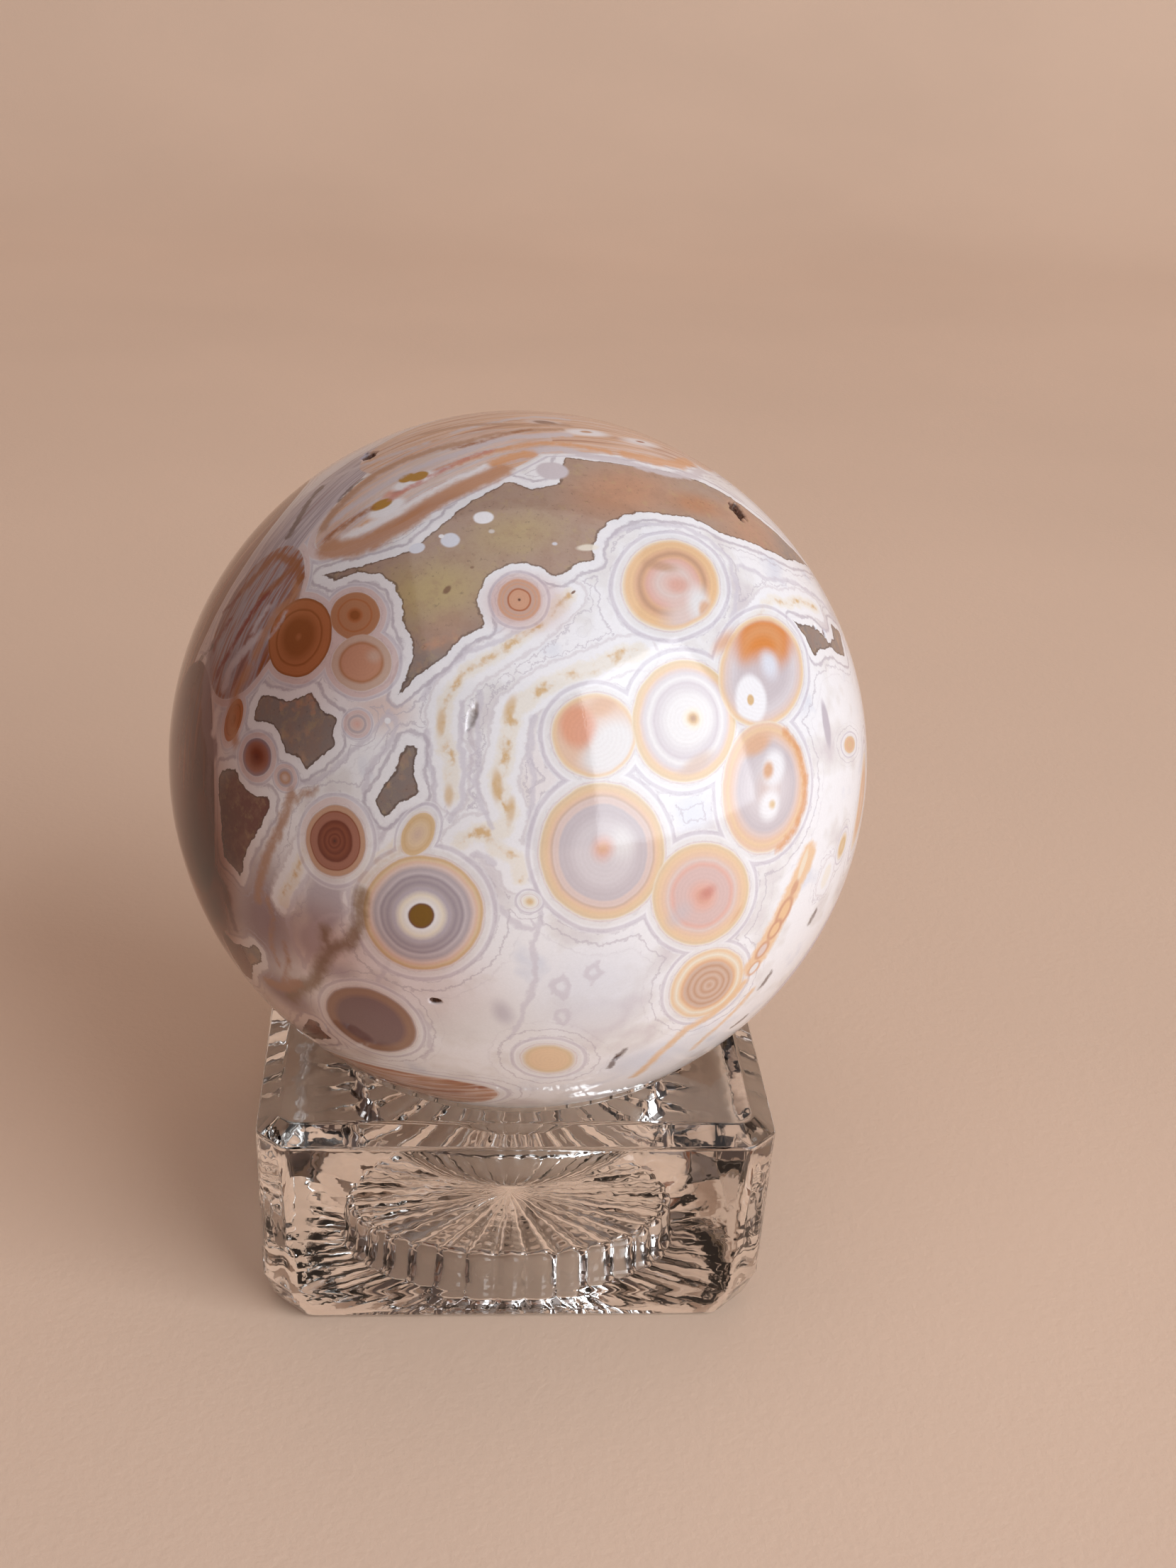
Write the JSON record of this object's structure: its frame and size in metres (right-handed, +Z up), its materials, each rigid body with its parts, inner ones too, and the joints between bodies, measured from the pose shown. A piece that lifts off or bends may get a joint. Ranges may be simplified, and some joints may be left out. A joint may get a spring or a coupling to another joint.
{
  "type": "ocean jasper sphere on a glass stand",
  "caption": "Polished ball of orbicular ocean jasper resting in the round bowl of a small square clear pressed-glass stand.",
  "frame": {"origin": "on the surface the stand rests on, under the middle of the stand and the stone", "axes": "+Z up; -Y is the side seen from the front, square to one face of the stand; +X to the right"},
  "size_m": [0.066, 0.066, 0.081],
  "materials": {
    "jasper": "high polish, orange and white orbs in grey-brown and white chalcedony, a few open pits",
    "clear_glass": "clear pressed glass with soft edges"
  },
  "bodies": {
    "root": {"stone": "jasper", "glass_stand": "clear_glass"}
  },
  "joints": []
}
